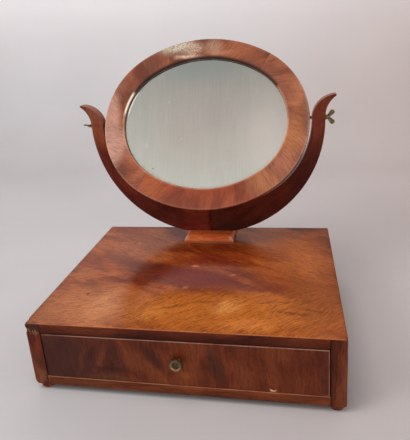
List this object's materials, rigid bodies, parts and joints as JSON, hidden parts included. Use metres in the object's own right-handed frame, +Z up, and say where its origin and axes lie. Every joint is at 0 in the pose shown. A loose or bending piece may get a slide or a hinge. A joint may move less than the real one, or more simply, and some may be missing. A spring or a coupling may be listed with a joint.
{
  "type": "dressing table mirror",
  "caption": "Oval tilting mirror held in a wooden yoke by wing screws, on a low box with a full-width drawer.",
  "frame": {"origin": "centre of the whole object's box on the surface that the feet stand on", "axes": "+X to the right, +Y to the back, +Z up; the drawer opens towards -Y"},
  "size_m": [0.45, 0.3784, 0.4671],
  "materials": {
    "veneer_top": "French polished mahogany veneer",
    "carcass": "polished mahogany",
    "drawer_face": "polished flame mahogany veneer",
    "yoke": "polished dark mahogany",
    "frame": "polished crossbanded mahogany",
    "pine": "bare aged pine",
    "brass": "aged brass",
    "iron": "dull iron",
    "glass": "old silvered glass"
  },
  "bodies": {
    "base": {"top_veneer": "veneer_top", "top_board": "pine", "top_rail": "carcass", "bottom_rail": "carcass", "side_left": "carcass", "side_right": "carcass", "back_panel": "pine", "bottom_board": "pine", "runner_left": "pine", "runner_right": "pine", "drawer_stops": "pine", "foot_front_left": "carcass", "foot_front_right": "carcass", "foot_back_left": "carcass", "foot_back_right": "carcass", "yoke_plinth": "yoke", "yoke_left": "yoke", "yoke_right": "yoke", "yoke_screws": "iron"},
    "drawer": {"drawer_front": "drawer_face", "drawer_side_left": "pine", "drawer_side_right": "pine", "drawer_back": "pine", "drawer_bottom": "pine", "drawer_knob": "brass", "knob_screw": "iron"},
    "mirror": {"frame_top": "frame", "frame_bottom": "frame", "frame_left": "frame", "frame_right": "frame", "mirror_glass": "glass", "back_board": "pine", "back_board_screws": "iron", "bush_left": "brass", "bush_right": "brass"},
    "left_screw": {"wing_screw_left": "brass"},
    "right_screw": {"wing_screw_right": "brass"}
  },
  "joints": [
    {"name": "drawer_slide", "type": "slide", "parent": "base", "child": "drawer", "axis": [0, -1, 0], "range_m": [0, 0.24]},
    {"name": "mirror_tilt", "type": "hinge", "parent": "base", "child": "mirror", "pos_m": [0, 0.11426, 0.3275], "axis": [1, 0, 0], "continuous": true},
    {"name": "left_screw_turn", "type": "hinge", "parent": "mirror", "child": "left_screw", "pos_m": [-0.2175, 0.11426, 0.3275], "axis": [1, 0, 0], "continuous": true},
    {"name": "right_screw_turn", "type": "hinge", "parent": "mirror", "child": "right_screw", "pos_m": [0.2175, 0.11426, 0.3275], "axis": [1, 0, 0], "continuous": true}
  ]
}
